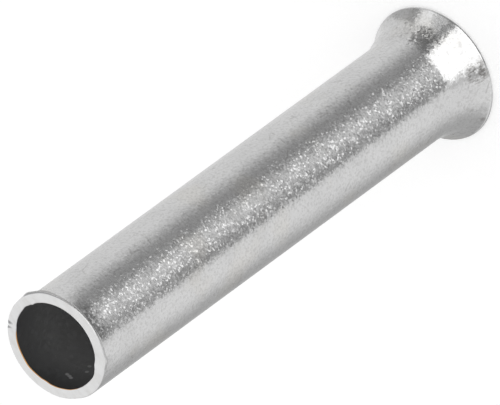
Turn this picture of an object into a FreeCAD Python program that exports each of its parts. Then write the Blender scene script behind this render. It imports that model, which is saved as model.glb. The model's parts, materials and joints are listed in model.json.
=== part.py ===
import FreeCAD, Part
import math
import os

# A bare wire ferrule: a thin tinned copper tube with one end flared like a trumpet.
# It stands on the rim of the flare. The origin is the centre of the rim's plane,
# +Z runs along the tube to its cut end, and +X points to the heavy side of the burr.
# All sizes are in millimetres and degrees.

# Tube
overall_length = 18.0
bore_diameter = 2.8
wall = 0.2

# Flared mouth, read on its outer skin from the tube down to the rim
throat_radius = 1.2        # bend where the tube starts to open
cone_angle = 16.0          # lean of the straight stretch, from the tube's axis
cone_length = 0.58
rim_angle = 34.0           # lean of the wall where it meets the rounded rim
rim_overhang = 0.46        # how far the rim stands outside the tube
rim_flat = 0.08            # width of the ring that the ferrule stands on

# Cut end: the shears leave a burr, thicker on one side, and a face a little off square
burr_height = 0.16         # tube length that the burr takes up
burr_edge = 0.04           # thickness of the burr where it stands out furthest
burr_outward = 0.06        # mean step outwards
burr_shift = 0.05          # how far the burr's circle sits towards +X
burr_inward = 0.05         # mean step into the bore
mouth_shift = 0.07         # how far the shears pushed the bore's mouth towards +X
cut_slant = 1.6            # lean of the cut face, high on the +X side

# Derived sizes
bore_radius = bore_diameter / 2
tube_radius = bore_radius + wall
half_wall = wall / 2
cone_lean = math.radians(cone_angle)
rim_lean = math.radians(rim_angle)
slant = math.radians(cut_slant)
burr_start = overall_length - burr_height

# The last bend of the flare is as wide as the rim's overhang asks for
throat_step = throat_radius * (1 - math.cos(cone_lean))
cone_step = cone_length * math.sin(cone_lean)
rim_step = half_wall * (1 - math.cos(rim_lean))
bend_step = rim_overhang - throat_step - cone_step - rim_step
bend_radius = bend_step / (math.cos(cone_lean) - math.cos(rim_lean))

# Heights above the rim's plane, worked out upwards from the rounded rim
rim_centre_height = math.sqrt(half_wall ** 2 - (rim_flat / 2) ** 2)
bend_end = rim_centre_height + half_wall * math.sin(rim_lean)
bend_start = bend_end + bend_radius * (math.sin(rim_lean) - math.sin(cone_lean))
cone_start = bend_start + cone_length * math.cos(cone_lean)
flare_start = cone_start + throat_radius * math.sin(cone_lean)

# Centres of the section's bends, as a radius and a height
throat_centre = (tube_radius + throat_radius, flare_start)
bend_centre = (
    tube_radius + throat_step + cone_step + bend_radius * math.cos(cone_lean),
    bend_start + bend_radius * math.sin(cone_lean),
)
rim_centre = (tube_radius + rim_overhang - half_wall, rim_centre_height)


def section_point(radius, height):
    """Place a point of the wall's section in the XZ plane."""
    return FreeCAD.Vector(radius, 0, height)


def on_circle(centre, radius, lean):
    """Place the point of a bend where the wall leans by this angle, seen from the axis."""
    return section_point(centre[0] - radius * math.cos(lean), centre[1] - radius * math.sin(lean))


def bend(centre, radius, first_lean, last_lean):
    """Draw one bend of the wall between two leans."""
    middle_lean = (first_lean + last_lean) / 2
    return Part.Arc(
        on_circle(centre, radius, first_lean),
        on_circle(centre, radius, middle_lean),
        on_circle(centre, radius, last_lean),
    ).toShape()


def straight(start, end):
    """Draw one straight stretch of the section."""
    return Part.LineSegment(start, end).toShape()


def skin(depth):
    """Draw one skin of the wall, from the tube's end to the rim, a depth under the outer skin."""
    throat = bend(throat_centre, throat_radius + depth, 0, cone_lean)
    mouth = bend(bend_centre, bend_radius + depth, cone_lean, rim_lean)
    tube_end = section_point(tube_radius - depth, burr_start)
    tube_line = straight(tube_end, on_circle(throat_centre, throat_radius + depth, 0))
    cone_line = straight(
        on_circle(throat_centre, throat_radius + depth, cone_lean),
        on_circle(bend_centre, bend_radius + depth, cone_lean),
    )
    return [tube_line, throat, cone_line, mouth]


def rounded_rim():
    """Draw the rim: half a circle across the wall, with the ring that it stands on."""
    flat_turn = math.acos(rim_centre_height / half_wall)
    down = math.pi / 2
    outer_flat = section_point(rim_centre[0] + rim_flat / 2, 0)
    inner_flat = section_point(rim_centre[0] - rim_flat / 2, 0)

    def around(turn):
        """Place a point of the rim's circle, turned from straight out towards straight down."""
        return section_point(
            rim_centre[0] + half_wall * math.cos(turn),
            rim_centre[1] - half_wall * math.sin(turn),
        )

    outer_start = -rim_lean
    outer_end = down - flat_turn
    inner_start = down + flat_turn
    inner_end = math.pi - rim_lean
    outer_arc = Part.Arc(around(outer_start), around((outer_start + outer_end) / 2), outer_flat)
    inner_arc = Part.Arc(inner_flat, around((inner_start + inner_end) / 2), around(inner_end))
    return [outer_arc.toShape(), straight(outer_flat, inner_flat), inner_arc.toShape()]


def flared_tube():
    """Turn the wall's section round the axis, from the rim to where the burr starts."""
    tube_end = straight(
        section_point(bore_radius, burr_start),
        section_point(tube_radius, burr_start),
    )
    outline = [tube_end] + skin(0) + rounded_rim() + skin(wall)
    wire = Part.Wire(Part.__sortEdges__(outline))
    axis = FreeCAD.Vector(0, 0, 1)
    return Part.Face(wire).revolve(FreeCAD.Vector(0, 0, 0), axis, 360)


def ring(radius, height, shift=0.0, lean=0.0):
    """Draw a circle in a plane that leans, high on the +X side, and crosses the axis at a height."""
    normal = FreeCAD.Vector(-math.sin(lean), 0, math.cos(lean))
    centre = FreeCAD.Vector(shift, 0, height + shift * math.tan(lean))
    circle = Part.makeCircle(radius, centre, normal)
    return Part.Wire([circle])


def burred_end():
    """Build the last stretch of the tube, spread outwards and inwards by the shears."""
    burr_radius = tube_radius + burr_outward
    shoulder = overall_length - burr_edge
    outside = Part.makeLoft(
        [
            ring(tube_radius, burr_start),
            ring(burr_radius, shoulder, burr_shift, slant),
            ring(burr_radius, overall_length, burr_shift, slant),
        ],
        True,
        True,
    )
    mouth_radius = bore_radius - burr_inward
    inside = Part.makeLoft(
        [
            ring(bore_radius, burr_start),
            ring(mouth_radius, overall_length, mouth_shift, slant),
            ring(mouth_radius, overall_length + burr_height, mouth_shift, slant),
        ],
        True,
        True,
    )
    return outside.cut(inside)


def ferrule():
    """Join the flared tube and its burred end into the one piece of metal."""
    return flared_tube().fuse(burred_end()).removeSplitter()


def report(shape):
    """Print the sizes that follow from the driving ones."""
    box = shape.optimalBoundingBox(False, False)
    print("solids", len(shape.Solids), "valid", shape.isValid(), "closed", shape.Solids[0].isClosed())
    print("volume mm3", round(shape.Volume, 3), "faces", len(shape.Faces))
    print("box", [round(side, 3) for side in (box.XMin, box.YMin, box.ZMin, box.XMax, box.YMax, box.ZMax)])
    print("flare starts at", round(flare_start, 3), "last bend radius", round(bend_radius, 3))


def main():
    """Build the ferrule and write it."""
    os.makedirs("parts", exist_ok=True)
    shape = ferrule()
    report(shape)
    shape.Solids[0].exportStep("parts/ferrule.step")


main()
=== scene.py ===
import json
import logging
import math
from dataclasses import dataclass
from enum import Enum

import bmesh
import bpy
from mathutils import Matrix, Vector

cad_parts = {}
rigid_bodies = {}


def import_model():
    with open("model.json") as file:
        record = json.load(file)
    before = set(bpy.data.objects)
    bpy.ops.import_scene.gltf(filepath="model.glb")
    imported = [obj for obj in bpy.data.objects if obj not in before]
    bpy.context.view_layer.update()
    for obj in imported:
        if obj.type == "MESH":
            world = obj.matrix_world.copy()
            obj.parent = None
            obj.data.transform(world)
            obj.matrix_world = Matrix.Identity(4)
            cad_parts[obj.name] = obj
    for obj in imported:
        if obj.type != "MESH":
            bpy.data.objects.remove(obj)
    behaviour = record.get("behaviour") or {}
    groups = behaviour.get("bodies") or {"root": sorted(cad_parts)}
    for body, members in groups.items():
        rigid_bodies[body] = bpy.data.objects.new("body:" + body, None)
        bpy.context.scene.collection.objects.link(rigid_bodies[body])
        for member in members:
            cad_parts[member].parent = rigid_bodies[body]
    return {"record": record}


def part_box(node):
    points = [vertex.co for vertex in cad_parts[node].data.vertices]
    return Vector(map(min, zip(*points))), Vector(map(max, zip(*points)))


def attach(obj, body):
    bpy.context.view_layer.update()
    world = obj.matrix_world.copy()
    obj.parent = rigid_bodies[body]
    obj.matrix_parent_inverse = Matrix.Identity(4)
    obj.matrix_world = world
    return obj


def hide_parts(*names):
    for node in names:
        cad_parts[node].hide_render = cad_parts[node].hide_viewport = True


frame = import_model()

LOG = logging.getLogger("wire_ferrule")
MM = 0.001
TURN = 2.0 * math.pi
NODE = "ferrule"
RENDER_SIZE = (500, 405)
COPPER = (0.80, 0.44, 0.17, 1.0)

Socket = bpy.types.NodeSocket
Feed = Socket | float | int | tuple | str | bool | bpy.types.Material
Color = tuple[float, float, float, float]
Point = tuple[float, float, float]


class Zone(Enum):
    """Parts of the wall's section that have a finish of their own."""

    SKIN = 0
    CUT_FACE = 1
    BORE = 2


@dataclass(frozen=True)
class Station:
    """One point of the wall's section, in millimetres, with its shares of what isn't round.

    burr is its share of the burr's shift and marks, shoulder that of the marks on the burr's
    back only, mouth that of the bore's mouth, rim that of the rim's marks, slant its share of
    the cut's slant, and flare its share of the uneven start of the flare. lip marks the bore's
    torn edge, and the last share that of the painted shade on the back of the burr.
    """

    radius: float
    height: float
    zone: Zone
    burr: float = 0.0
    shoulder: float = 0.0
    mouth: float = 0.0
    rim: float = 0.0
    slant: float = 0.0
    flare: float = 0.0
    lip: float = 0.0
    groove: float = 0.0


class Edge(Enum):
    """The edges that marks sit on, named as the stations' shares."""

    BURR = "burr"
    SHOULDER = "shoulder"
    MOUTH = "mouth"
    RIM = "rim"


@dataclass(frozen=True)
class EdgeMark:
    """One small dent or swelling of an edge: sizes in millimetres, angles in degrees.

    turn is the angle round the tube from +X, width half the mark's spread, and step how far
    it moves the edge outwards.
    """

    edge: Edge
    turn: float
    width: float
    step: float


# Painted shade in two nicks of the burr's edge, either side of its dent at 37 degrees; step sets how dark
# they are and moves nothing.
NICK_SHADE = (
    EdgeMark(Edge.BURR, turn=34.4, width=2.5, step=1.0),
    EdgeMark(Edge.BURR, turn=40.2, width=2.0, step=0.9),
)


@dataclass
class FerruleSizes:
    """Sizes of the ferrule in millimetres and degrees, the main ones read from the frame."""

    height: float
    rim_radius: float
    bore_radius: float
    tube_radius: float
    throat_radius: float = 1.2
    cone_angle: float = 16.0
    cone_length: float = 0.58
    rim_angle: float = 34.0
    rim_flat: float = 0.08
    burr_height: float = 0.16
    burr_edge: float = 0.08
    burr_outward: float = 0.05
    burr_reach: float = 0.11
    burr_shift: float = 0.05
    burr_inward: float = 0.052
    mouth_shift: float = 0.07
    cut_slant: float = 1.6
    outer_round: float = 0.022
    inner_round: float = 0.018
    raggedness: float = 0.014
    flare_dip: float = 0.25

    @classmethod
    def from_frame(cls, record: dict) -> "FerruleSizes":
        """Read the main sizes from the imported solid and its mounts.

        Args:
            record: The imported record.

        Returns:
            The sizes of the whole ferrule.
        """
        radii = {mount["name"]: mount["dims"].get("r_mm") for mount in record["mounts"]}
        low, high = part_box(NODE)
        slant_rise = math.tan(math.radians(cls.cut_slant)) * (radii["barrel"] + cls.burr_reach)
        return cls(
            height=high.z / MM - slant_rise,
            rim_radius=(high.y - low.y) / 2 / MM,
            bore_radius=radii["wire_bore"],
            tube_radius=radii["barrel"],
        )

    @property
    def wall(self) -> float:
        """Thickness of the wall."""
        return self.tube_radius - self.bore_radius


class WallSection:
    """The outline of the wall in the XZ plane, from the rim up the skin and down the bore."""

    def __init__(self, sizes: FerruleSizes) -> None:
        """Work out the bends of the flare.

        Args:
            sizes: The ferrule's sizes.
        """
        self.sizes = sizes
        self.cone = math.radians(sizes.cone_angle)
        self.rim = math.radians(sizes.rim_angle)
        half = sizes.wall / 2
        overhang = sizes.rim_radius - sizes.tube_radius
        throat_step = sizes.throat_radius * (1 - math.cos(self.cone))
        cone_step = sizes.cone_length * math.sin(self.cone)
        rim_step = half * (1 - math.cos(self.rim))
        bend_step = overhang - throat_step - cone_step - rim_step
        self.bend_radius = bend_step / (math.cos(self.cone) - math.cos(self.rim))
        rim_height = math.sqrt(half ** 2 - (sizes.rim_flat / 2) ** 2)
        bend_end = rim_height + half * math.sin(self.rim)
        bend_start = bend_end + self.bend_radius * (math.sin(self.rim) - math.sin(self.cone))
        cone_start = bend_start + sizes.cone_length * math.cos(self.cone)
        self.flare_start = cone_start + sizes.throat_radius * math.sin(self.cone)
        self.rim_centre = (sizes.rim_radius - half, rim_height)
        self.throat_centre = (sizes.tube_radius + sizes.throat_radius, self.flare_start)
        self.bend_centre = (
            sizes.tube_radius + throat_step + cone_step + self.bend_radius * math.cos(self.cone),
            bend_start + self.bend_radius * math.sin(self.cone),
        )

    @staticmethod
    def around(centre: tuple[float, float], radius: float, lean: float) -> tuple[float, float]:
        """Place a point of a bend by the lean of the wall there."""
        return centre[0] - radius * math.cos(lean), centre[1] - radius * math.sin(lean)

    def flare(self, depth: float, zone: Zone) -> list[Station]:
        """Follow one skin of the flare upwards from the rim.

        Args:
            depth: How far the skin lies under the outer one.
            zone: The finish of that skin.

        Returns:
            The stations from the rim to the start of the tube.
        """
        points = []
        bend_steps, cone_steps, throat_steps = 16, 4, 10
        for step in range(bend_steps):
            lean = self.rim + (self.cone - self.rim) * step / bend_steps
            points.append(self.around(self.bend_centre, self.bend_radius + depth, lean))
        cone_low = self.around(self.bend_centre, self.bend_radius + depth, self.cone)
        cone_high = self.around(self.throat_centre, self.sizes.throat_radius + depth, self.cone)
        for step in range(cone_steps):
            share = step / cone_steps
            points.append(tuple(low + (high - low) * share for low, high in zip(cone_low, cone_high)))
        for step in range(throat_steps + 1):
            lean = self.cone * (1 - step / throat_steps)
            points.append(self.around(self.throat_centre, self.sizes.throat_radius + depth, lean))
        half_rise = 0.85
        return [
            Station(
                radius,
                height,
                zone,
                rim=self.fading(height / 0.6),
                flare=math.sin(math.pi / 2 * min(2.0, height / half_rise)) ** 2,
            )
            for radius, height in points
        ]

    @staticmethod
    def fading(share: float) -> float:
        """Fall softly from 1 at share 0 to 0 at share 1 and beyond."""
        return 0.5 + 0.5 * math.cos(math.pi * min(1.0, max(0.0, share)))

    def rim_arc(self, first: float, last: float, zone: Zone, steps: int = 9) -> list[Station]:
        """Follow the rounded rim between two turns, measured from straight out to straight down."""
        half = self.sizes.wall / 2
        stations = []
        for step in range(steps):
            turn = first + (last - first) * step / steps
            radius = self.rim_centre[0] + half * math.cos(turn)
            stations.append(Station(radius, self.rim_centre[1] - half * math.sin(turn), zone, rim=1.0))
        return stations

    def tube(self, radius: float, first: float, last: float, zone: Zone, steps: int) -> list[Station]:
        """Follow a straight stretch of the tube, without its first and last points."""
        return [
            Station(radius, first + (last - first) * step / steps, zone)
            for step in range(1, steps)
        ]

    def burr(self) -> list[Station]:
        """Follow the burr outwards, over its edge, across the cut face and into the bore.

        Returns:
            The stations from the end of the plain tube to the start of the plain bore.
        """
        sizes = self.sizes
        low = sizes.height - sizes.burr_height
        shoulder = sizes.height - sizes.burr_edge
        outer = sizes.tube_radius + sizes.burr_outward
        inner = sizes.bore_radius - sizes.burr_inward
        stations = [Station(sizes.tube_radius, low, Zone.SKIN)]
        # The back of the burr carries a share of painted shade that grows towards its edge.
        for share in (0.25, 0.5, 0.75, 0.9):
            swell = share ** 1.8
            stations.append(
                Station(
                    sizes.tube_radius + sizes.burr_outward * swell,
                    low + (shoulder - low) * share,
                    Zone.SKIN,
                    burr=swell,
                    shoulder=swell,
                    slant=share,
                    groove=share,
                )
            )
        stations.append(Station(outer, shoulder, Zone.SKIN, burr=1.0, shoulder=1.0, slant=1.0, groove=1.0))
        # The outer rounding keeps painted shade, which fades towards the cut face.
        round_steps = 5
        edge = sizes.outer_round
        for step in range(round_steps + 1):
            turn = math.pi / 2 * step / round_steps
            radius = outer - edge + edge * math.cos(turn)
            height = sizes.height - edge + edge * math.sin(turn)
            zone = Zone.CUT_FACE if step else Zone.SKIN
            left = 1.0 - step / round_steps
            stations.append(
                Station(radius, height, zone, burr=1.0, shoulder=0.8 * left, slant=1.0, groove=left ** 0.5)
            )
        lip = sizes.inner_round
        face_steps = 5
        for step in range(1, face_steps):
            share = step / face_steps
            radius = (outer - edge) + (inner + lip - outer + edge) * share
            stations.append(
                Station(radius, sizes.height, Zone.CUT_FACE, burr=1.0 - share, mouth=share, slant=1.0)
            )
        for step in range(round_steps + 1):
            turn = math.pi / 2 * (1 - step / round_steps)
            radius = inner + lip - lip * math.cos(turn)
            height = sizes.height - lip + lip * math.sin(turn)
            zone = Zone.CUT_FACE if step < round_steps else Zone.BORE
            torn = min(1.0, 2.0 * step / round_steps)
            stations.append(Station(radius, height, zone, mouth=1.0, slant=1.0, lip=torn))
        for share, torn in ((0.06, 1.0), (0.14, 0.0), (0.3, 0.0), (0.6, 0.0)):
            radius = inner + sizes.burr_inward * share
            height = sizes.height - lip - (sizes.burr_height - lip) * share
            left = 1.0 - share
            stations.append(Station(radius, height, Zone.BORE, mouth=left, slant=left, lip=torn))
        stations.append(Station(sizes.bore_radius, low, Zone.BORE))
        return stations

    def stations(self) -> list[Station]:
        """List the whole closed outline, with its first point again at the end."""
        sizes = self.sizes
        half = sizes.wall / 2
        low = sizes.height - sizes.burr_height
        flat_turn = math.acos(self.rim_centre[1] / half)
        down = math.pi / 2
        outline = self.rim_arc(down - flat_turn, -self.rim, Zone.SKIN)
        outline += self.flare(0.0, Zone.SKIN)
        outline += self.tube(sizes.tube_radius, self.flare_start, low, Zone.SKIN, 30)
        outline += self.burr()
        outline += self.tube(sizes.bore_radius, low, self.flare_start, Zone.BORE, 16)
        outline += reversed(self.flare(sizes.wall, Zone.BORE))
        outline += self.rim_arc(math.pi - self.rim, down + flat_turn, Zone.SKIN)
        outline.append(Station(self.rim_centre[0] - sizes.rim_flat / 2, 0.0, Zone.SKIN, rim=1.0))
        outline.append(outline[0])
        return outline

    def mesh(self) -> bpy.types.Mesh:
        """Write the outline as a chain of edges whose points carry the stations' shares."""
        stations = self.stations()
        mesh = bpy.data.meshes.new("wall_section")
        points = [(station.radius, 0.0, station.height) for station in stations]
        edges = [(first, first + 1) for first in range(len(points) - 1)]
        mesh.from_pydata(points, edges, [])
        for name in ("burr", "shoulder", "mouth", "rim", "slant", "flare", "lip", "groove"):
            shares = mesh.attributes.new(name, "FLOAT", "POINT")
            shares.data.foreach_set("value", [getattr(station, name) for station in stations])
        zones = mesh.attributes.new("zone", "FLOAT", "POINT")
        zones.data.foreach_set("value", [float(station.zone.value) for station in stations])
        return mesh


class Desk:
    """A node tree on which nodes are laid out and joined by short calls."""

    def __init__(self, tree: bpy.types.NodeTree) -> None:
        """Keep the tree.

        Args:
            tree: The tree that the nodes go into.
        """
        self.tree = tree

    def feed(self, socket: Socket, value: Feed) -> None:
        """Join a socket to another one, or set its plain value."""
        if isinstance(value, Socket):
            self.tree.links.new(value, socket)
        else:
            socket.default_value = value

    def node(
        self, kind: str, inputs: dict[str | int, Feed] | None = None, **options: object
    ) -> bpy.types.Node:
        """Add a node.

        Args:
            kind: The node's type.
            inputs: What its sockets take, by name or number.
            **options: The node's own settings.

        Returns:
            The node.
        """
        made = self.tree.nodes.new(kind)
        for name, option in options.items():
            setattr(made, name, option)
        for key, value in (inputs or {}).items():
            self.feed(made.inputs[key], value)
        return made

    def math(self, operation: str, *terms: Feed) -> Socket:
        """Work out one number from one to three others."""
        inputs = dict(enumerate(terms))
        return self.node("ShaderNodeMath", inputs, operation=operation).outputs[0]

    def vector(self, operation: str, *terms: Feed) -> Socket:
        """Work out one vector from one or two others."""
        made = self.node("ShaderNodeVectorMath", dict(enumerate(terms)), operation=operation)
        return made.outputs["Vector"]

    def distance(self, first: Feed, second: Feed) -> Socket:
        """Measure how far two places lie apart."""
        made = self.node("ShaderNodeVectorMath", {0: first, 1: second}, operation="DISTANCE")
        return made.outputs["Value"]

    def scaled(self, vector: Feed, factor: Feed) -> Socket:
        """Scale a vector by a number."""
        made = self.node("ShaderNodeVectorMath", {0: vector, "Scale": factor}, operation="SCALE")
        return made.outputs["Vector"]

    def smooth(self, value: Feed, low: Feed, high: Feed) -> Socket:
        """Fade from 0 at low to 1 at high along a soft curve."""
        inputs = {"Value": value, "From Min": low, "From Max": high}
        made = self.node("ShaderNodeMapRange", inputs, interpolation_type="SMOOTHSTEP")
        return made.outputs["Result"]

    def remainder(self, share: Feed) -> Socket:
        """Give what a share leaves of 1."""
        return self.math("SUBTRACT", 1.0, share)

    def times(self, first: Feed, second: Feed) -> Socket:
        """Multiply two numbers."""
        return self.math("MULTIPLY", first, second)

    def noise(self, place: Feed, scale: float, detail: float) -> Socket:
        """Give soft noise with a mean of about a half."""
        inputs = {"Vector": place, "Scale": scale, "Detail": detail}
        return self.node("ShaderNodeTexNoise", inputs).outputs[0]

    def bent(self, place: Feed, scale: float, reach: float) -> Socket:
        """Shift places by soft noise, which bends what is laid out on them."""
        inputs = {"Vector": place, "Scale": scale, "Detail": 1.0}
        shift = self.node("ShaderNodeTexNoise", inputs).outputs["Color"]
        return self.vector("ADD", place, self.scaled(shift, reach))

    def carried(self, name: str) -> Socket:
        """Read a number that the mesh carries, in a material."""
        return self.node("ShaderNodeAttribute", attribute_name=name).outputs["Fac"]

    def blend(self, share: Feed, first: Feed, second: Feed) -> Socket:
        """Mix two colours by a share."""
        made = self.node("ShaderNodeMix", data_type="RGBA", clamp_factor=True)
        self.feed(made.inputs["Factor"], share)
        self.feed(made.inputs[6], first)
        self.feed(made.inputs[7], second)
        return made.outputs[2]

    def between(self, share: Feed, first: Feed, second: Feed) -> Socket:
        """Mix two numbers by a share."""
        made = self.node("ShaderNodeMix", data_type="FLOAT", clamp_factor=True)
        self.feed(made.inputs[0], share)
        self.feed(made.inputs[2], first)
        self.feed(made.inputs[3], second)
        return made.outputs[0]


class TurnedTree:
    """The node tree that turns the section round the axis and works over its cut end."""

    INPUTS = (
        ("Steps round", "NodeSocketInt"),
        ("Rows", "NodeSocketInt"),
        ("Burr shift", "NodeSocketFloat"),
        ("Mouth shift", "NodeSocketFloat"),
        ("Cut slant", "NodeSocketFloat"),
        ("Raggedness", "NodeSocketFloat"),
        ("Flare dip", "NodeSocketFloat"),
        ("Skin", "NodeSocketMaterial"),
        ("Cut face", "NodeSocketMaterial"),
        ("Bore", "NodeSocketMaterial"),
    )
    RAG_SEED = 4.7
    MERGE_REACH = 0.0004

    def __init__(self, marks: tuple[EdgeMark, ...]) -> None:
        """Build the tree.

        Args:
            marks: The small marks on the edges of the rim and the cut end.
        """
        self.tree = bpy.data.node_groups.new("turned_wall", "GeometryNodeTree")
        self.desk = Desk(self.tree)
        face = self.tree.interface
        face.new_socket("Section", in_out="INPUT", socket_type="NodeSocketGeometry")
        self.ids = {
            name: face.new_socket(name, in_out="INPUT", socket_type=kind).identifier
            for name, kind in self.INPUTS
        }
        face.new_socket("Wall", in_out="OUTPUT", socket_type="NodeSocketGeometry")
        self.given = self.tree.nodes.new("NodeGroupInput").outputs
        self.build(marks)

    def sampled(self, name: str, row: Socket) -> Socket:
        """Read one share of the section's station in this row."""
        stored = self.desk.node("GeometryNodeInputNamedAttribute", {"Name": name}, data_type="FLOAT")
        inputs = {"Geometry": self.given["Section"], "Value": stored.outputs["Attribute"], "Index": row}
        return self.desk.node("GeometryNodeSampleIndex", inputs, data_type="FLOAT").outputs["Value"]

    def stored(self, wall: Socket, name: str, value: Socket, domain: str = "POINT") -> Socket:
        """Store a number on the wall's points or faces, where the finishes can read it."""
        inputs = {"Geometry": wall, "Name": name, "Value": value}
        kind = "GeometryNodeStoreNamedAttribute"
        return self.desk.node(kind, inputs, data_type="FLOAT", domain=domain).outputs[0]

    def bump_at(self, turn: Socket, mark: EdgeMark) -> Socket:
        """Raise a soft hump round one angle, as high as the mark's step."""
        desk = self.desk
        apart = desk.math("SUBTRACT", turn, math.radians(mark.turn))
        wrapped = desk.math("WRAP", apart, math.pi, -math.pi)
        share = desk.math("DIVIDE", wrapped, math.radians(mark.width))
        fall = desk.math("EXPONENT", desk.times(desk.times(share, share), -1.0))
        return desk.times(fall, mark.step)

    def build(self, marks: tuple[EdgeMark, ...]) -> None:
        """Lay out the nodes from the section to the finished wall."""
        desk = self.desk
        given = self.given
        sides = desk.math("ADD", given["Steps round"], 1.0)
        grid = desk.node("GeometryNodeMeshGrid", {"Vertices X": sides, "Vertices Y": given["Rows"]})
        index = desk.node("GeometryNodeInputIndex").outputs[0]
        row = desk.math("FLOORED_MODULO", index, given["Rows"])
        side = desk.math("FLOOR", desk.math("DIVIDE", index, given["Rows"]))
        turn = desk.times(desk.math("DIVIDE", side, given["Steps round"]), TURN)
        place = desk.node("GeometryNodeInputPosition").outputs[0]
        inputs = {"Geometry": given["Section"], "Value": place, "Index": row}
        sample = desk.node("GeometryNodeSampleIndex", inputs, data_type="FLOAT_VECTOR")
        split = desk.node("ShaderNodeSeparateXYZ", {0: sample.outputs["Value"]}).outputs
        cosine = desk.math("COSINE", turn)
        sine = desk.math("SINE", turn)

        shares = {edge: self.sampled(edge.value, row) for edge in Edge}
        burr, mouth = shares[Edge.BURR], shares[Edge.MOUTH]
        compass = desk.node("ShaderNodeCombineXYZ", {0: cosine, 1: sine, 2: self.RAG_SEED}).outputs[0]
        rag = desk.noise(compass, 9.0, 4.0)
        rag = desk.times(desk.math("SUBTRACT", rag, 0.5), given["Raggedness"])
        radius = desk.math("ADD", split["X"], desk.times(rag, desk.math("ADD", burr, mouth)))
        for mark in marks:
            bump = desk.times(self.bump_at(turn, mark), shares[mark.edge])
            radius = desk.math("ADD", radius, bump)

        burr_shift = desk.times(given["Burr shift"], burr)
        shift = desk.math("ADD", burr_shift, desk.times(given["Mouth shift"], mouth))
        across = desk.math("ADD", desk.times(radius, cosine), shift)
        along = desk.times(radius, sine)
        slant = desk.times(desk.math("TANGENT", given["Cut slant"]), self.sampled("slant", row))
        rise = desk.math("ADD", split["Z"], desk.times(across, slant))
        far_side = desk.times(desk.remainder(cosine), 0.5)
        dip = desk.times(desk.times(far_side, given["Flare dip"]), self.sampled("flare", row))
        rise = desk.math("SUBTRACT", rise, dip)
        point = desk.node("ShaderNodeCombineXYZ", {0: across, 1: along, 2: rise}).outputs[0]
        turned = desk.node("GeometryNodeSetPosition", {"Geometry": grid.outputs["Mesh"], "Position": point})

        edge = desk.times(self.sampled("lip", row), self.copper_share(turn, compass))
        wall = self.stored(turned.outputs[0], "copper", edge)
        # Painted shade on the back of the burr and in its nicks, stored for the finishes to darken.
        dark = desk.times(self.sampled("groove", row), self.burr_shade_spread(turn))
        for edge_shade in NICK_SHADE:
            dark = desk.math("MAXIMUM", dark, desk.times(self.bump_at(turn, edge_shade), burr))
        wall = self.stored(wall, "dark_edge", dark)

        faces = desk.math("SUBTRACT", given["Rows"], 1.0)
        zone = self.sampled("zone", desk.math("FLOORED_MODULO", index, faces))
        inputs = {"Geometry": self.stored(wall, "zone", zone, domain="FACE"), "Distance": self.MERGE_REACH}
        closed = desk.node("GeometryNodeMergeByDistance", inputs).outputs[0]
        soft = desk.node("GeometryNodeSetShadeSmooth", {0: closed}).outputs[0]
        small = desk.scaled(place, MM)
        metres = desk.node("GeometryNodeSetPosition", {"Geometry": soft, "Position": small}).outputs[0]
        self.finish(metres)

    def copper_share(self, turn: Socket, compass: Socket) -> Socket:
        """Say where round the bore the sheared edge shows bare copper, in uneven runs."""
        desk = self.desk
        middle, half_span, fade = math.radians(105.0), math.radians(58.0), math.radians(14.0)
        apart = desk.math("ABSOLUTE", desk.math("SUBTRACT", turn, middle))
        window = desk.remainder(desk.smooth(apart, half_span - fade, half_span + fade))
        runs = desk.noise(compass, 14.0, 3.0)
        return desk.times(window, desk.smooth(runs, 0.22, 0.42))

    def burr_shade_spread(self, turn: Socket) -> Socket:
        """Say where round the burr its back gets painted shade, in degrees from +X towards -Y."""
        desk = self.desk
        back = desk.math("SUBTRACT", TURN, turn)
        start = desk.smooth(back, math.radians(-2.0), math.radians(12.0))
        less = desk.times(desk.smooth(back, math.radians(48.0), math.radians(72.0)), 0.55)
        last = desk.times(desk.smooth(back, math.radians(150.0), math.radians(185.0)), 0.45)
        return desk.times(start, desk.math("SUBTRACT", desk.remainder(less), last))

    def finish(self, wall: Socket) -> None:
        """Realize the wall and give each zone its material."""
        desk = self.desk
        real = desk.node("GeometryNodeRealizeInstances", {0: wall}).outputs[0]
        zone = desk.node("GeometryNodeInputNamedAttribute", {"Name": "zone"}, data_type="FLOAT")
        for kind, name in ((Zone.SKIN, "Skin"), (Zone.CUT_FACE, "Cut face"), (Zone.BORE, "Bore")):
            same = desk.math("COMPARE", zone.outputs["Attribute"], float(kind.value), 0.25)
            inputs = {"Geometry": real, "Selection": same, "Material": self.given[name]}
            real = desk.node("GeometryNodeSetMaterial", inputs).outputs[0]
        desk.feed(desk.node("NodeGroupOutput").inputs[0], real)


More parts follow.
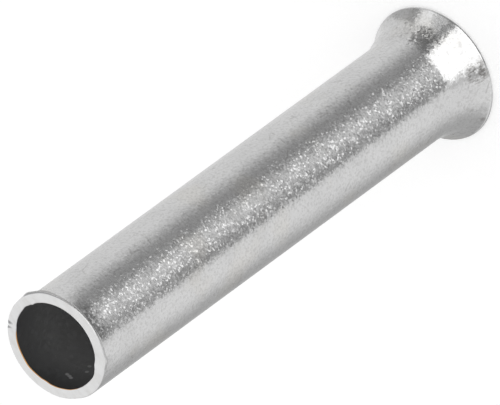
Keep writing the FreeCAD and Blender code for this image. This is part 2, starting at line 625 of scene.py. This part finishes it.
class SurfaceGroups:
    """Shader groups for effects that more than one finish uses."""

    def __init__(self) -> None:
        """Build each group once."""
        self.grain = self.crystal_grain()
        self.lines = self.hairlines()
        self.specks = self.pits()

    @staticmethod
    def start(name: str, inputs: dict[str, tuple[str, Feed]], outputs: tuple[str, ...]) -> Desk:
        """Open a group with named sockets.

        Args:
            name: The group's name.
            inputs: Socket types and first values by name.
            outputs: The names of the values that it puts out.

        Returns:
            A desk on the group's tree.
        """
        tree = bpy.data.node_groups.new(name, "ShaderNodeTree")
        for label, (kind, value) in inputs.items():
            made = tree.interface.new_socket(label, in_out="INPUT", socket_type=kind)
            if kind == "NodeSocketFloat":
                made.default_value = value
        for label in outputs:
            tree.interface.new_socket(label, in_out="OUTPUT", socket_type="NodeSocketFloat")
        return Desk(tree)

    @staticmethod
    def crystal_grain() -> bpy.types.NodeTree:
        """Build the fine spangle of tin plate: a leaning normal for each grain, and its dullness.

        Returns:
            The group's tree.
        """
        inputs = {
            "Place": ("NodeSocketVector", None),
            "Grains per mm": ("NodeSocketFloat", 11.0),
            "Lean": ("NodeSocketFloat", 0.1),
        }
        desk = SurfaceGroups.start("crystal_grain", inputs, ("Dull",))
        desk.tree.interface.new_socket("Normal", in_out="OUTPUT", socket_type="NodeSocketVector")
        given = desk.node("NodeGroupInput").outputs
        bent = desk.bent(given["Place"], 9.0, 0.07)
        cells = {"Vector": bent, "Scale": given["Grains per mm"], "Randomness": 1.0, "Smoothness": 0.25}
        flakes = desk.node("ShaderNodeTexVoronoi", cells, feature="SMOOTH_F1").outputs["Color"]
        dull = desk.node("ShaderNodeSeparateColor", {0: flakes}).outputs[2]
        steep = desk.math("MULTIPLY_ADD", desk.smooth(dull, 0.72, 0.95), 0.9, 0.84)
        turned = desk.scaled(desk.vector("SUBTRACT", flakes, (0.5, 0.5, 0.5)), steep)
        lean = desk.scaled(turned, given["Lean"])
        upright = desk.node("ShaderNodeNewGeometry").outputs["Normal"]
        leaning = desk.vector("NORMALIZE", desk.vector("ADD", upright, lean))
        desk.node("NodeGroupOutput", {"Dull": dull, "Normal": leaning})
        return desk.tree

    @staticmethod
    def hairlines() -> bpy.types.NodeTree:
        """Build short hairline scratches that cross each other, as a mask.

        Returns:
            The group's tree.
        """
        inputs = {
            "Place": ("NodeSocketVector", None),
            "Lines per mm": ("NodeSocketFloat", 1.2),
            "Turn": ("NodeSocketFloat", 0.0),
            "Amount": ("NodeSocketFloat", 0.5),
        }
        desk = SurfaceGroups.start("hairlines", inputs, ("Mask",))
        given = desk.node("NodeGroupInput").outputs
        bent = desk.bent(given["Place"], 0.7, 0.55)
        axis = (0.31, 0.87, 0.38)
        inputs = {"Vector": bent, "Axis": axis, "Angle": given["Turn"]}
        turned = desk.node("ShaderNodeVectorRotate", inputs, rotation_type="AXIS_ANGLE").outputs[0]
        lines = desk.node("ShaderNodeTexVoronoi", {
            "Vector": desk.vector("MULTIPLY", turned, (1.0, 1.0, 0.22)),
            "Scale": given["Lines per mm"],
        }, feature="DISTANCE_TO_EDGE").outputs["Distance"]
        thin = desk.remainder(desk.smooth(lines, 0.006, 0.03))
        gate = desk.noise(given["Place"], 1.9, 2.0)
        floor = desk.remainder(given["Amount"])
        kept = desk.smooth(gate, floor, desk.math("ADD", floor, 0.08))
        desk.node("NodeGroupOutput", {"Mask": desk.times(thin, kept)})
        return desk.tree

    @staticmethod
    def pits() -> bpy.types.NodeTree:
        """Build scattered dark specks, some in clusters.

        Returns:
            The group's tree.
        """
        inputs = {
            "Place": ("NodeSocketVector", None),
            "Specks per mm": ("NodeSocketFloat", 3.0),
            "Size": ("NodeSocketFloat", 0.12),
            "Amount": ("NodeSocketFloat", 0.3),
        }
        desk = SurfaceGroups.start("dark_specks", inputs, ("Mask",))
        given = desk.node("NodeGroupInput").outputs
        spots = desk.node("ShaderNodeTexVoronoi", {
            "Vector": desk.bent(given["Place"], 22.0, 0.03),
            "Scale": given["Specks per mm"],
            "Randomness": 1.0,
        })
        near = desk.remainder(desk.smooth(spots.outputs["Distance"], 0.0, given["Size"]))
        chance = desk.node("ShaderNodeSeparateColor", {0: spots.outputs["Color"]}).outputs[0]
        picked = desk.math("LESS_THAN", chance, given["Amount"])
        desk.node("NodeGroupOutput", {"Mask": desk.times(near, picked)})
        return desk.tree


@dataclass(frozen=True)
class TinPlate:
    """Tin plate over copper on the outside: satin, finely spangled, lightly scratched."""

    color: Color = (0.81, 0.81, 0.81, 1.0)
    dull_color: Color = (0.76, 0.76, 0.76, 1.0)
    stain: Color = (0.78, 0.755, 0.70, 1.0)
    # Colour of the scratches, specks, mottle and scuffs, and of the painted shade on the burr's back.
    mark_and_shade: Color = (0.36, 0.35, 0.34, 1.0)
    roughness: float = 0.13
    grain_lean: float = 0.095
    fine_depth: float = 0.0016
    stain_share: float = 0.36
    line_share: float = 0.34
    speck_share: float = 0.55
    mottle_share: float = 0.26
    burr_shade_strength: float = 0.26
    scuff_share: float = 0.9
    scuff_place: Point = (-0.74, -1.76, 0.38)
    scuff_reach: Point = (0.5, 0.6, 0.5)
    flecks: tuple[Point, ...] = ((-1.55, -0.95, 0.64), (-1.86, -0.63, 0.16))

    def material(self, groups: SurfaceGroups) -> bpy.types.Material:
        """Build the material.

        Args:
            groups: The shared shader groups.

        Returns:
            The material.
        """
        material, desk, shader, place = open_material("tin_plate")
        inputs = {"Place": place, "Grains per mm": 18.0, "Lean": self.grain_lean}
        grain = group_node(desk, groups.grain, inputs)
        inputs = {"Place": place, "Lines per mm": 1.1, "Turn": 0.85, "Amount": 0.43}
        lines = group_node(desk, groups.lines, inputs)
        inputs = {"Place": place, "Specks per mm": 3.4, "Size": 0.12, "Amount": 0.3}
        specks = group_node(desk, groups.specks, inputs)
        fine = desk.noise(place, 19.0, 1.0)

        cloud = desk.noise(place, 1.3, 3.0)
        color = desk.blend(desk.smooth(cloud, 0.35, 0.75), self.color, self.dull_color)
        stain = desk.noise(place, 0.5, 3.0)
        color = desk.blend(desk.times(desk.smooth(stain, 0.54, 0.68), self.stain_share), color, self.stain)
        color = desk.blend(desk.times(lines.outputs["Mask"], self.line_share), color, self.mark_and_shade)
        color = desk.blend(desk.times(specks.outputs["Mask"], self.speck_share), color, self.mark_and_shade)
        mottle = desk.noise(place, 12.0, 3.0)
        mottle = desk.times(desk.smooth(mottle, 0.44, 0.7), self.mottle_share)
        color = desk.blend(mottle, color, self.mark_and_shade)
        color = desk.blend(self.scuff(desk, place), color, self.mark_and_shade)
        # Painted shade on the back of the burr: a darker colour there, and more roughness.
        groove = desk.carried("dark_edge")
        color = desk.blend(desk.times(groove, self.burr_shade_strength), color, self.mark_and_shade)
        desk.feed(shader.inputs["Base Color"], color)

        rough = desk.math("ADD", self.roughness, desk.times(grain.outputs["Dull"], 0.08))
        rough = desk.math("ADD", rough, desk.times(specks.outputs["Mask"], 0.2))
        rough = desk.math("ADD", rough, desk.times(groove, 0.4))
        desk.feed(shader.inputs["Roughness"], rough)
        bump = desk.node("ShaderNodeBump", {
            "Height": fine,
            "Distance": self.fine_depth * MM,
            "Normal": grain.outputs["Normal"],
        })
        desk.feed(shader.inputs["Normal"], bump.outputs[0])
        return material

    def scuff(self, desk: Desk, place: Socket) -> Socket:
        """Mask the rubbed spot near the rim and the flecks beside it.

        Args:
            desk: The desk on the material's tree.
            place: The place on the ferrule in millimetres.

        Returns:
            The mask.
        """
        away = desk.vector("DIVIDE", desk.vector("SUBTRACT", place, self.scuff_place), self.scuff_reach)
        spot = desk.remainder(desk.smooth(desk.distance(away, (0.0, 0.0, 0.0)), 0.35, 1.0))
        stretched = desk.vector("MULTIPLY", place, (9.0, 9.0, 2.6))
        streaks = desk.noise(stretched, 1.3, 3.0)
        mask = desk.times(desk.times(spot, desk.smooth(streaks, 0.42, 0.6)), self.scuff_share)
        return desk.math("MAXIMUM", mask, desk.times(dots(desk, place, self.flecks, 0.12), 0.55))


@dataclass(frozen=True)
class ShearedEdge:
    """The cut face: pale sheared metal with faint streaks, and copper where the plate is torn."""

    color: Color = (0.83, 0.83, 0.83, 1.0)
    shade: Color = (0.75, 0.745, 0.735, 1.0)
    # Colour of the painted shade on the cut face's outer rounding and in the burr's nicks.
    edge_shade: Color = (0.25, 0.25, 0.26, 1.0)
    roughness: float = 0.38
    lean: float = 0.10

    def material(self, groups: SurfaceGroups) -> bpy.types.Material:
        """Build the material.

        Args:
            groups: The shared shader groups.

        Returns:
            The material.
        """
        material, desk, shader, place = open_material("sheared_edge")
        grain = group_node(desk, groups.grain, {"Place": place, "Grains per mm": 9.0, "Lean": self.lean})
        inputs = {"Place": place, "Specks per mm": 3.4, "Size": 0.13, "Amount": 0.16}
        specks = group_node(desk, groups.specks, inputs)
        streaks = desk.noise(desk.vector("MULTIPLY", place, (0.8, 2.4, 0.8)), 2.0, 3.0)
        color = desk.blend(desk.smooth(streaks, 0.42, 0.8), self.color, self.shade)
        color = desk.blend(desk.times(specks.outputs["Mask"], 0.5), color, self.shade)
        # Painted shade where the cut face rounds over to the burr's back, and in its nicks.
        dark = desk.carried("dark_edge")
        color = desk.blend(desk.times(desk.smooth(dark, 0.25, 0.85), 0.85), color, self.edge_shade)
        dress_torn(desk, shader, grain, color, self.roughness)
        return material


@dataclass(frozen=True)
class ShadedBore:
    """The inside of the tube: thinly plated and dull, with painted shade and a few bright flecks."""

    # Colours of the painted shade in the bore: near just inside the cut end, deep further down.
    near: Color = (0.078, 0.078, 0.079, 1.0)
    deep: Color = (0.47, 0.47, 0.472, 1.0)
    fleck: Color = (0.6, 0.6, 0.6, 1.0)
    roughness: float = 0.55
    metallic: float = 0.35
    deep_height: float = 15.2
    near_height: float = 18.2
    # Bright dots at listed places just inside the cut end.
    bright_dots: tuple[Point, ...] = (
        (-0.94, 1.04, 16.46),
        (-1.02, 0.96, 16.73),
        (-0.89, 1.08, 17.24),
        (-0.83, 1.13, 17.2),
        (-0.75, 1.18, 17.18),
    )

    def material(self, groups: SurfaceGroups) -> bpy.types.Material:
        """Build the material.

        Args:
            groups: The shared shader groups.

        Returns:
            The material.
        """
        material, desk, shader, place = open_material("dull_bore")
        shader.inputs["Metallic"].default_value = self.metallic
        grain = group_node(desk, groups.grain, {"Place": place, "Grains per mm": 9.0, "Lean": 0.07})
        inputs = {"Place": place, "Specks per mm": 1.1, "Size": 0.05, "Amount": 0.35}
        flecks = group_node(desk, groups.specks, inputs)
        height = desk.node("ShaderNodeSeparateXYZ", {0: place}).outputs["Z"]
        # Painted shade: darkest just inside the cut end, lighter further down.
        color = desk.blend(desk.smooth(height, self.deep_height, self.near_height), self.deep, self.near)
        color = desk.blend(desk.times(flecks.outputs["Mask"], 0.6), color, self.fleck)
        color = desk.blend(dots(desk, place, self.bright_dots, 0.08), color, self.fleck)
        dress_torn(desk, shader, grain, color, self.roughness)
        return material


def open_material(name: str) -> tuple[bpy.types.Material, Desk, bpy.types.Node, Socket]:
    """Start a metal's material and its coordinates in millimetres.

    Args:
        name: The material's name.

    Returns:
        The material, a desk on its tree, its shader, and the place in millimetres.
    """
    material = bpy.data.materials.new(name)
    material.use_nodes = True
    desk = Desk(material.node_tree)
    shader = material.node_tree.nodes["Principled BSDF"]
    shader.inputs["Metallic"].default_value = 1.0
    here = desk.node("ShaderNodeTexCoord").outputs["Object"]
    per_mm = (1 / MM, 1 / MM, 1 / MM)
    mapping = desk.node("ShaderNodeMapping", {"Vector": here, "Scale": per_mm})
    return material, desk, shader, mapping.outputs[0]


def dress_torn(
    desk: Desk, shader: bpy.types.Node, grain: bpy.types.Node, color: Socket, roughness: float
) -> None:
    """Feed a shader its finish, with copper where the plate is torn.

    Args:
        desk: The desk on the material's tree.
        shader: The material's shader.
        grain: The spangle, which tilts the normal and varies the roughness.
        color: The colour of the plate.
        roughness: The roughness of the smoothest grains.
    """
    torn = desk.smooth(desk.carried("copper"), 0.1, 0.5)
    desk.feed(shader.inputs["Base Color"], desk.blend(torn, color, COPPER))
    rough = desk.math("ADD", roughness, desk.times(grain.outputs["Dull"], 0.1))
    desk.feed(shader.inputs["Roughness"], rough)
    desk.feed(shader.inputs["Normal"], grain.outputs["Normal"])


def dots(desk: Desk, place: Socket, middles: tuple[Point, ...], size: float) -> Socket:
    """Mask single small dots.

    Args:
        desk: The desk on the material's tree.
        place: The place on the ferrule in millimetres.
        middles: The dots' middles in millimetres.
        size: The dots' radius in millimetres.

    Returns:
        The mask.
    """
    mask: Feed = 0.0
    for middle in middles:
        far = desk.distance(place, middle)
        mask = desk.math("MAXIMUM", mask, desk.remainder(desk.smooth(far, size * 0.4, size)))
    return mask


def bare_material(name: str) -> tuple[bpy.types.Material, Desk]:
    """Start a material that has no nodes yet."""
    material = bpy.data.materials.new(name)
    material.use_nodes = True
    material.node_tree.nodes.clear()
    return material, Desk(material.node_tree)


def placed(name: str, data: bpy.types.Mesh | bpy.types.Camera) -> bpy.types.Object:
    """Make an object from its data and put it in the scene."""
    made = bpy.data.objects.new(name, data)
    bpy.context.scene.collection.objects.link(made)
    return made


def group_node(desk: Desk, tree: bpy.types.NodeTree, inputs: dict[str, Feed]) -> bpy.types.Node:
    """Place a shared group in a material with its own values."""
    made = desk.tree.nodes.new("ShaderNodeGroup")
    made.node_tree = tree
    for name, value in inputs.items():
        desk.feed(made.inputs[name], value)
    return made


class Ferrule:
    """The one piece of metal, from its rim to its cut end."""

    STEPS_ROUND = 480
    MARKS = (
        EdgeMark(Edge.MOUTH, turn=-13.0, width=2.0, step=-0.024),
        EdgeMark(Edge.MOUTH, turn=0.0, width=5.0, step=0.022),
        EdgeMark(Edge.MOUTH, turn=40.0, width=9.0, step=-0.018),
        EdgeMark(Edge.MOUTH, turn=90.0, width=9.0, step=0.026),
        EdgeMark(Edge.MOUTH, turn=117.0, width=5.0, step=-0.018),
        EdgeMark(Edge.MOUTH, turn=-160.0, width=9.0, step=0.028),
        EdgeMark(Edge.MOUTH, turn=-142.0, width=6.0, step=-0.024),
        EdgeMark(Edge.BURR, turn=-133.0, width=6.0, step=0.012),
        EdgeMark(Edge.SHOULDER, turn=-133.0, width=6.0, step=0.045),
        EdgeMark(Edge.BURR, turn=37.0, width=3.0, step=-0.02),
        EdgeMark(Edge.BURR, turn=-34.0, width=22.0, step=0.02),
        EdgeMark(Edge.SHOULDER, turn=-32.0, width=17.0, step=0.055),
        EdgeMark(Edge.SHOULDER, turn=-11.0, width=7.0, step=0.05),
        EdgeMark(Edge.BURR, turn=157.0, width=14.0, step=-0.03),
        EdgeMark(Edge.RIM, turn=178.0, width=40.0, step=0.03),
        EdgeMark(Edge.RIM, turn=-110.0, width=34.0, step=-0.02),
    )

    def __init__(self, sizes: FerruleSizes) -> None:
        """Keep the sizes.

        Args:
            sizes: The ferrule's sizes.
        """
        self.sizes = sizes

    def wall(
        self, skin: bpy.types.Material, face: bpy.types.Material, bore: bpy.types.Material
    ) -> bpy.types.Object:
        """Turn the section into the wall as one plain mesh.

        Args:
            skin: The finish of the outside.
            face: The finish of the cut end.
            bore: The finish of the inside.

        Returns:
            The finished object at the origin.
        """
        section = WallSection(self.sizes)
        outline = placed("wall_outline", section.mesh())
        tree = TurnedTree(self.MARKS)
        modifier = outline.modifiers.new("turned_wall", "NODES")
        modifier.node_group = tree.tree
        values = {
            "Steps round": self.STEPS_ROUND,
            "Rows": len(outline.data.vertices),
            "Burr shift": self.sizes.burr_shift,
            "Mouth shift": self.sizes.mouth_shift,
            "Cut slant": math.radians(self.sizes.cut_slant),
            "Raggedness": self.sizes.raggedness,
            "Flare dip": self.sizes.flare_dip,
            "Skin": skin,
            "Cut face": face,
            "Bore": bore,
        }
        for name, value in values.items():
            modifier[tree.ids[name]] = value
        evaluated = outline.evaluated_get(bpy.context.evaluated_depsgraph_get())
        mesh = bpy.data.meshes.new_from_object(evaluated)
        bpy.data.objects.remove(outline)
        self.face_outwards(mesh)
        return placed("ferrule_wall", mesh)

    @staticmethod
    def face_outwards(mesh: bpy.types.Mesh) -> None:
        """Turn every face outwards and check that the wall is closed."""
        work = bmesh.new()
        work.from_mesh(mesh)
        bmesh.ops.recalc_face_normals(work, faces=work.faces)
        open_edges = sum(1 for edge in work.edges if len(edge.link_faces) != 2)
        volume = work.calc_volume(signed=True)
        if volume < 0:
            bmesh.ops.reverse_faces(work, faces=work.faces)
        work.to_mesh(mesh)
        work.free()
        faces, volume = len(mesh.polygons), volume / MM ** 3
        LOG.info("wall: %d faces, %d open edges, volume %.2f mm3", faces, open_edges, volume)

    def build(self) -> bpy.types.Object:
        """Build the ferrule, dress it and hand it to its body.

        Returns:
            The finished piece.
        """
        groups = SurfaceGroups()
        piece = self.wall(
            TinPlate().material(groups),
            ShearedEdge().material(groups),
            ShadedBore().material(groups),
        )
        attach(piece, "root")
        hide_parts(NODE)
        return piece


@dataclass(frozen=True)
class Panel:
    """One soft upright panel of the light tent: angles in degrees, brightness as radiance.

    turn is its middle, from the camera's side towards +X, half its half width, soft the fade
    at its sides, low and high its ends in elevation, and fade how softly they end.
    """

    turn: float
    half: float
    soft: float
    brightness: float
    low: float = -90.0
    high: float = 90.0
    fade: float = 8.0


class LightTent:
    """The surroundings that the metal mirrors: a pale tent with upright panels and gaps.

    A panel covers the ones before it. The tube mirrors the tent at an elevation of -43
    degrees all the way round, and the flare mirrors it higher up.
    """

    RADIUS = 2.0
    MIDDLE_HEIGHT = 9.0
    WALL = 0.72
    TOP = 0.88
    PANELS = (
        Panel(turn=-143.0, half=30.0, soft=50.0, brightness=0.42, high=20.0, fade=15.0),
        Panel(turn=-140.0, half=34.0, soft=36.0, brightness=0.44, low=-37.0, high=25.0, fade=12.0),
        Panel(turn=172.0, half=13.0, soft=26.0, brightness=0.80, high=-15.0, fade=10.0),
        Panel(turn=168.0, half=24.0, soft=16.0, brightness=1.3, low=0.0, high=28.0, fade=10.0),
        Panel(turn=-66.0, half=23.0, soft=14.0, brightness=0.79, high=40.0),
        Panel(turn=112.0, half=27.0, soft=22.0, brightness=0.46, low=-20.0, high=30.0, fade=9.0),
        Panel(turn=94.0, half=10.0, soft=10.0, brightness=0.36, low=-19.0, high=30.0, fade=6.0),
        Panel(turn=75.0, half=12.0, soft=12.0, brightness=0.95, low=-17.0, high=34.0, fade=5.0),
        Panel(turn=40.0, half=32.0, soft=50.0, brightness=0.31, high=-36.0, fade=6.0),
        Panel(turn=-12.0, half=30.5, soft=5.0, brightness=0.33, high=-38.0, fade=4.0),
        Panel(turn=2.0, half=16.0, soft=32.0, brightness=0.66, high=-36.0, fade=4.0),
        Panel(turn=0.0, half=50.0, soft=30.0, brightness=0.16, high=-48.5, fade=6.0),
        Panel(turn=56.0, half=12.0, soft=10.0, brightness=0.38, low=-37.0, high=-18.0, fade=6.0),
        Panel(turn=43.0, half=9.0, soft=8.0, brightness=0.20, low=-37.0, high=-14.0, fade=6.0),
        Panel(turn=52.0, half=15.0, soft=10.0, brightness=0.13, low=-23.0, high=-13.5, fade=4.0),
        Panel(turn=71.0, half=8.0, soft=8.0, brightness=0.20, low=-25.0, high=-17.0, fade=4.0),
        Panel(turn=52.0, half=12.0, soft=5.0, brightness=0.24, low=-13.0, high=38.0, fade=4.0),
        Panel(turn=60.0, half=1.5, soft=2.0, brightness=0.95, low=-13.0, high=38.0, fade=4.0),
        Panel(turn=54.0, half=1.5, soft=2.0, brightness=0.95, low=-13.0, high=38.0, fade=4.0),
        Panel(turn=48.0, half=1.5, soft=2.0, brightness=0.90, low=-13.0, high=38.0, fade=4.0),
        Panel(turn=39.5, half=6.0, soft=6.0, brightness=0.24, low=-16.0, high=38.0, fade=4.0),
        Panel(turn=-42.0, half=5.0, soft=6.0, brightness=0.60, low=-37.0, high=-12.0),
        Panel(turn=-42.5, half=4.5, soft=6.0, brightness=0.38, low=-12.0, high=30.0, fade=4.0),
        Panel(turn=1.0, half=31.0, soft=12.0, brightness=1.4, low=-33.0, high=38.0, fade=6.0),
        Panel(turn=0.0, half=19.0, soft=18.0, brightness=1.5, low=-35.5, high=-8.0, fade=8.0),
    )

    def shell(self) -> bpy.types.Object:
        """Build the tent as a wide shell of light that all but the camera sees.

        Returns:
            The shell.
        """
        work = bmesh.new()
        bmesh.ops.create_icosphere(work, subdivisions=4, radius=self.RADIUS)
        mesh = bpy.data.meshes.new("light_tent")
        work.to_mesh(mesh)
        work.free()
        mesh.materials.append(self.cloth())
        made = placed("light_tent", mesh)
        made.location = (0.0, 0.0, self.MIDDLE_HEIGHT * MM)
        made.visible_camera = False
        return made

    def cloth(self) -> bpy.types.Material:
        """Build the shell's glow, panel over panel.

        Returns:
            The material.
        """
        material, desk = bare_material("tent_cloth")
        here = desk.node("ShaderNodeTexCoord").outputs["Object"]
        way = desk.vector("NORMALIZE", here)
        split = desk.node("ShaderNodeSeparateXYZ", {0: way}).outputs
        toward_camera = desk.times(split["Y"], -1.0)
        turn = desk.math("ARCTAN2", split["X"], toward_camera)
        rise = desk.math("ARCSINE", split["Z"])
        level = desk.between(desk.smooth(rise, math.radians(20.0), math.radians(55.0)), self.WALL, self.TOP)
        for panel in self.PANELS:
            level = desk.between(self.window(desk, panel, turn, rise), level, panel.brightness)
        glow = desk.node("ShaderNodeEmission", {"Strength": level})
        desk.node("ShaderNodeOutputMaterial", {"Surface": glow.outputs[0]})
        return material

    @staticmethod
    def world() -> bpy.types.World:
        """Build the plain white world behind the tent, which only the camera sees."""
        made = bpy.data.worlds.new("white")
        made.use_nodes = True
        made.node_tree.nodes["Background"].inputs["Color"].default_value = (1.0, 1.0, 1.0, 1.0)
        return made

    @staticmethod
    def window(desk: Desk, panel: Panel, turn: Socket, rise: Socket) -> Socket:
        """Say how much of a direction one panel covers."""
        apart = desk.math("WRAP", desk.math("SUBTRACT", turn, math.radians(panel.turn)), math.pi, -math.pi)
        side = desk.math("ABSOLUTE", apart)
        inner, outer = math.radians(panel.half - panel.soft / 2), math.radians(panel.half + panel.soft / 2)
        across = desk.remainder(desk.smooth(side, inner, outer))
        fade = math.radians(panel.fade) / 2
        low, high = math.radians(panel.low), math.radians(panel.high)
        above = desk.smooth(rise, low - fade, low + fade)
        below = desk.remainder(desk.smooth(rise, high - fade, high + fade))
        return desk.times(across, desk.times(above, below))


class Studio:
    """The floor and the light."""

    FLOOR_HALF = 0.5
    FLOOR_DROP = 0.00001
    FLOOR_GLOW = 0.28

    def floor(self) -> bpy.types.Object:
        """Build the pale floor, which keeps the soft shadow and isn't mirrored.

        Returns:
            The floor.
        """
        half, drop = self.FLOOR_HALF, -self.FLOOR_DROP
        mesh = bpy.data.meshes.new("floor")
        corners = [(-half, -half, drop), (half, -half, drop), (half, half, drop), (-half, half, drop)]
        mesh.from_pydata(corners, [], [(0, 1, 2, 3)])
        made = placed("floor", mesh)
        mesh.materials.append(self.floor_finish())
        made.visible_glossy = False
        made.visible_shadow = False
        return made

    def floor_finish(self) -> bpy.types.Material:
        """Build the floor's material: pale card, lifted to white where it is seen."""
        material, desk = bare_material("pale_card")
        card = desk.node("ShaderNodeBsdfDiffuse", {"Color": (0.9, 0.9, 0.9, 1.0)})
        rays = desk.node("ShaderNodeLightPath").outputs
        mirrored = desk.math("MAXIMUM", rays["Is Glossy Ray"], rays["Is Transmission Ray"])
        seen = desk.math("MAXIMUM", rays["Is Camera Ray"], mirrored)
        strength = desk.times(seen, self.FLOOR_GLOW)
        glow = desk.node("ShaderNodeEmission", {"Strength": strength})
        both = desk.node("ShaderNodeAddShader", {0: card.outputs[0], 1: glow.outputs[0]})
        desk.node("ShaderNodeOutputMaterial", {"Surface": both.outputs[0]})
        return material

    def light(self) -> None:
        """Hang the tent round the object, in front of a white world."""
        tent = LightTent()
        tent.shell()
        bpy.context.scene.world = tent.world()


@dataclass(frozen=True)
class Viewpoint:
    """The camera's place: angles in degrees, lengths in millimetres.

    It looks down on the cut end of the standing ferrule and is rolled, so that the tube
    lies across the picture. aim is the pixel, of RENDER_SIZE, that shows the target.
    """

    elevation: float = 43.18
    roll: float = 126.19
    distance: float = 486.7
    target_height: float = 9.0
    aim: tuple[float, float] = (248.2, 208.3)
    lens: float = 1250.0
    sensor: float = 36.0

    def camera(self) -> bpy.types.Object:
        """Make the camera and give it to the scene.

        Returns:
            The camera.
        """
        rise, roll = math.radians(self.elevation), math.radians(self.roll)
        ahead = Vector((0.0, math.cos(rise), -math.sin(rise)))
        level_right = Vector((1.0, 0.0, 0.0))
        level_up = Vector((0.0, math.sin(rise), math.cos(rise)))
        right = math.cos(roll) * level_right - math.sin(roll) * level_up
        up = math.sin(roll) * level_right + math.cos(roll) * level_up
        per_pixel = self.distance * self.sensor / self.lens / RENDER_SIZE[0]
        off_right = (self.aim[0] - RENDER_SIZE[0] / 2) * per_pixel
        off_up = (RENDER_SIZE[1] / 2 - self.aim[1]) * per_pixel
        target = Vector((0.0, 0.0, self.target_height))
        place = target - ahead * self.distance - right * off_right - up * off_up
        data = bpy.data.cameras.new("camera")
        data.lens = self.lens
        data.sensor_width = self.sensor
        made = placed("camera", data)
        turned = Matrix((right, up, -ahead)).transposed()
        made.matrix_world = Matrix.Translation(place * MM) @ turned.to_4x4()
        bpy.context.scene.camera = made
        return made


def main() -> None:
    """Build the camera, the studio and the ferrule, and log the ferrule's face count."""
    logging.basicConfig(level=logging.INFO, format="%(name)s %(message)s")
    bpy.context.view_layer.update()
    bpy.context.scene.view_settings.view_transform = "Standard"
    Viewpoint().camera()
    studio = Studio()
    studio.floor()
    studio.light()
    piece = Ferrule(FerruleSizes.from_frame(frame["record"])).build()
    LOG.info("%s: %d faces", piece.name, len(piece.data.polygons))


if __name__ == "__main__":
    main()
